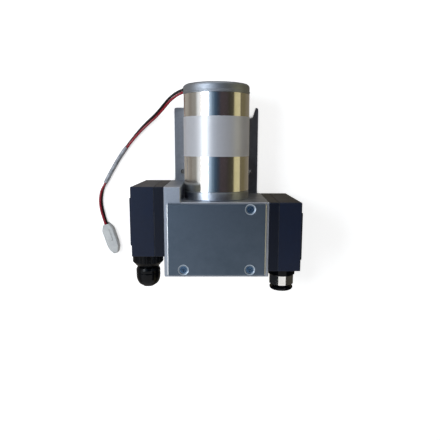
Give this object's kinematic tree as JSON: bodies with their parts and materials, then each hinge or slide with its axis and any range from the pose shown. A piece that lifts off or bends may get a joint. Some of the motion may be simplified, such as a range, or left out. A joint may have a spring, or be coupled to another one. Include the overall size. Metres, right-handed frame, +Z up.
{
  "type": "diaphragm vacuum pump",
  "caption": "Twin-head diaphragm vacuum pump: motor on a crank housing with two staggered side heads, base plate, inlet and outlet fittings, lead with plug.",
  "frame": {"origin": "midway between the base plate's two holes, on the plate's underside", "axes": "+Y along the motor shaft towards the motor's end cap, +X from the left head to the right head, +Z up from the base plate to the housing cover"},
  "size_m": [0.1707, 0.1677, 0.0713],
  "materials": {
    "housing_metal": "satin",
    "cover_metal": "satin",
    "plate_metal": "satin",
    "head_paint": "satin",
    "motor_steel": "polished",
    "motor_grey": "satin",
    "screw_zinc": "satin",
    "steel": "satin",
    "bearing_steel": "polished",
    "rod_metal": "satin",
    "nickel": "polished",
    "black_plastic": "satin",
    "black_rubber": "matte",
    "gasket_sheet": "matte",
    "label_film": "satin",
    "wire_jacket": "satin",
    "sleeve_film": "satin",
    "plug_plastic": "satin",
    "brush_board": "matte",
    "carbon": "matte",
    "brass": "satin",
    "copper": "satin",
    "ferrite": "matte",
    "core_steel": "satin",
    "tinned": "satin"
  },
  "bodies": {
    "frame": {"base_plate": "plate_metal", "base_plate_screws": "screw_zinc", "crank_housing": "housing_metal", "housing_cover": "cover_metal", "cover_gasket": "gasket_sheet", "cover_screws": "screw_zinc", "motor_front_flange": "motor_grey", "motor_screws": "steel", "motor_tube": "motor_steel", "motor_magnets": "ferrite", "motor_end_cap": "motor_grey", "lead_grommet": "black_rubber", "brush_plate": "brush_board", "brush_holders": "brass", "carbon_brushes": "carbon", "brush_springs": "steel", "motor_label": "label_film", "shaft_bearing_outer_rings": "bearing_steel", "head_screws": "screw_zinc", "transfer_seals": "black_rubber", "inlet_fitting_body": "black_plastic", "inlet_fitting_nut": "black_plastic", "inlet_seal": "black_rubber", "outlet_washer": "black_plastic", "outlet_fitting_body": "nickel", "motor_lead": "wire_jacket", "lead_sleeve": "sleeve_film", "lead_plug": "plug_plastic", "plug_terminals": "tinned", "left_diaphragm": "black_rubber", "left_valve_plate": "head_paint", "left_umbrella_valves": "black_rubber", "left_head_gasket": "gasket_sheet", "left_head_cover": "head_paint", "right_diaphragm": "black_rubber", "right_valve_plate": "head_paint", "right_umbrella_valves": "black_rubber", "right_head_gasket": "gasket_sheet", "right_head_cover": "head_paint"},
    "rotor": {"motor_shaft": "steel", "armature_core": "core_steel", "armature_windings": "copper", "commutator": "copper", "shaft_bearing_inner_rings": "bearing_steel", "rod_bearing_inner_rings": "bearing_steel", "eccentric_sleeve": "steel", "bearing_spacer": "steel", "counterweight": "brass", "counterweight_screw": "steel"},
    "left_rod": {"left_connecting_rod": "rod_metal", "left_rod_bearing_outer_ring": "bearing_steel", "left_clamp_disc": "rod_metal", "left_clamp_screw": "steel"},
    "right_rod": {"right_connecting_rod": "rod_metal", "right_rod_bearing_outer_ring": "bearing_steel", "right_clamp_disc": "rod_metal", "right_clamp_screw": "steel"},
    "release_collar": {"outlet_release_collar": "black_plastic"}
  },
  "joints": [
    {"name": "rotor_spin", "type": "hinge", "parent": "frame", "child": "rotor", "pos_m": [0, -0.0189, 0.036], "axis": [0, 1, 0], "continuous": true},
    {"name": "left_rod_swing", "type": "hinge", "parent": "rotor", "child": "left_rod", "pos_m": [0.0018, -0.03375, 0.036], "axis": [0, 1, 0], "continuous": true, "deforming": ["left_diaphragm"]},
    {"name": "right_rod_swing", "type": "hinge", "parent": "rotor", "child": "right_rod", "pos_m": [0.0018, -0.04525, 0.036], "axis": [0, 1, 0], "continuous": true, "deforming": ["right_diaphragm"]},
    {"name": "outlet_release", "type": "slide", "parent": "frame", "child": "release_collar", "axis": [0, 1, 0], "range_m": [0, 0.0012], "stiffness_N_per_m": 400}
  ],
  "couplings": [
    {"joint": "left_rod_swing", "follows": "rotor_spin", "ratio": -1},
    {"joint": "right_rod_swing", "follows": "rotor_spin", "ratio": -1}
  ]
}
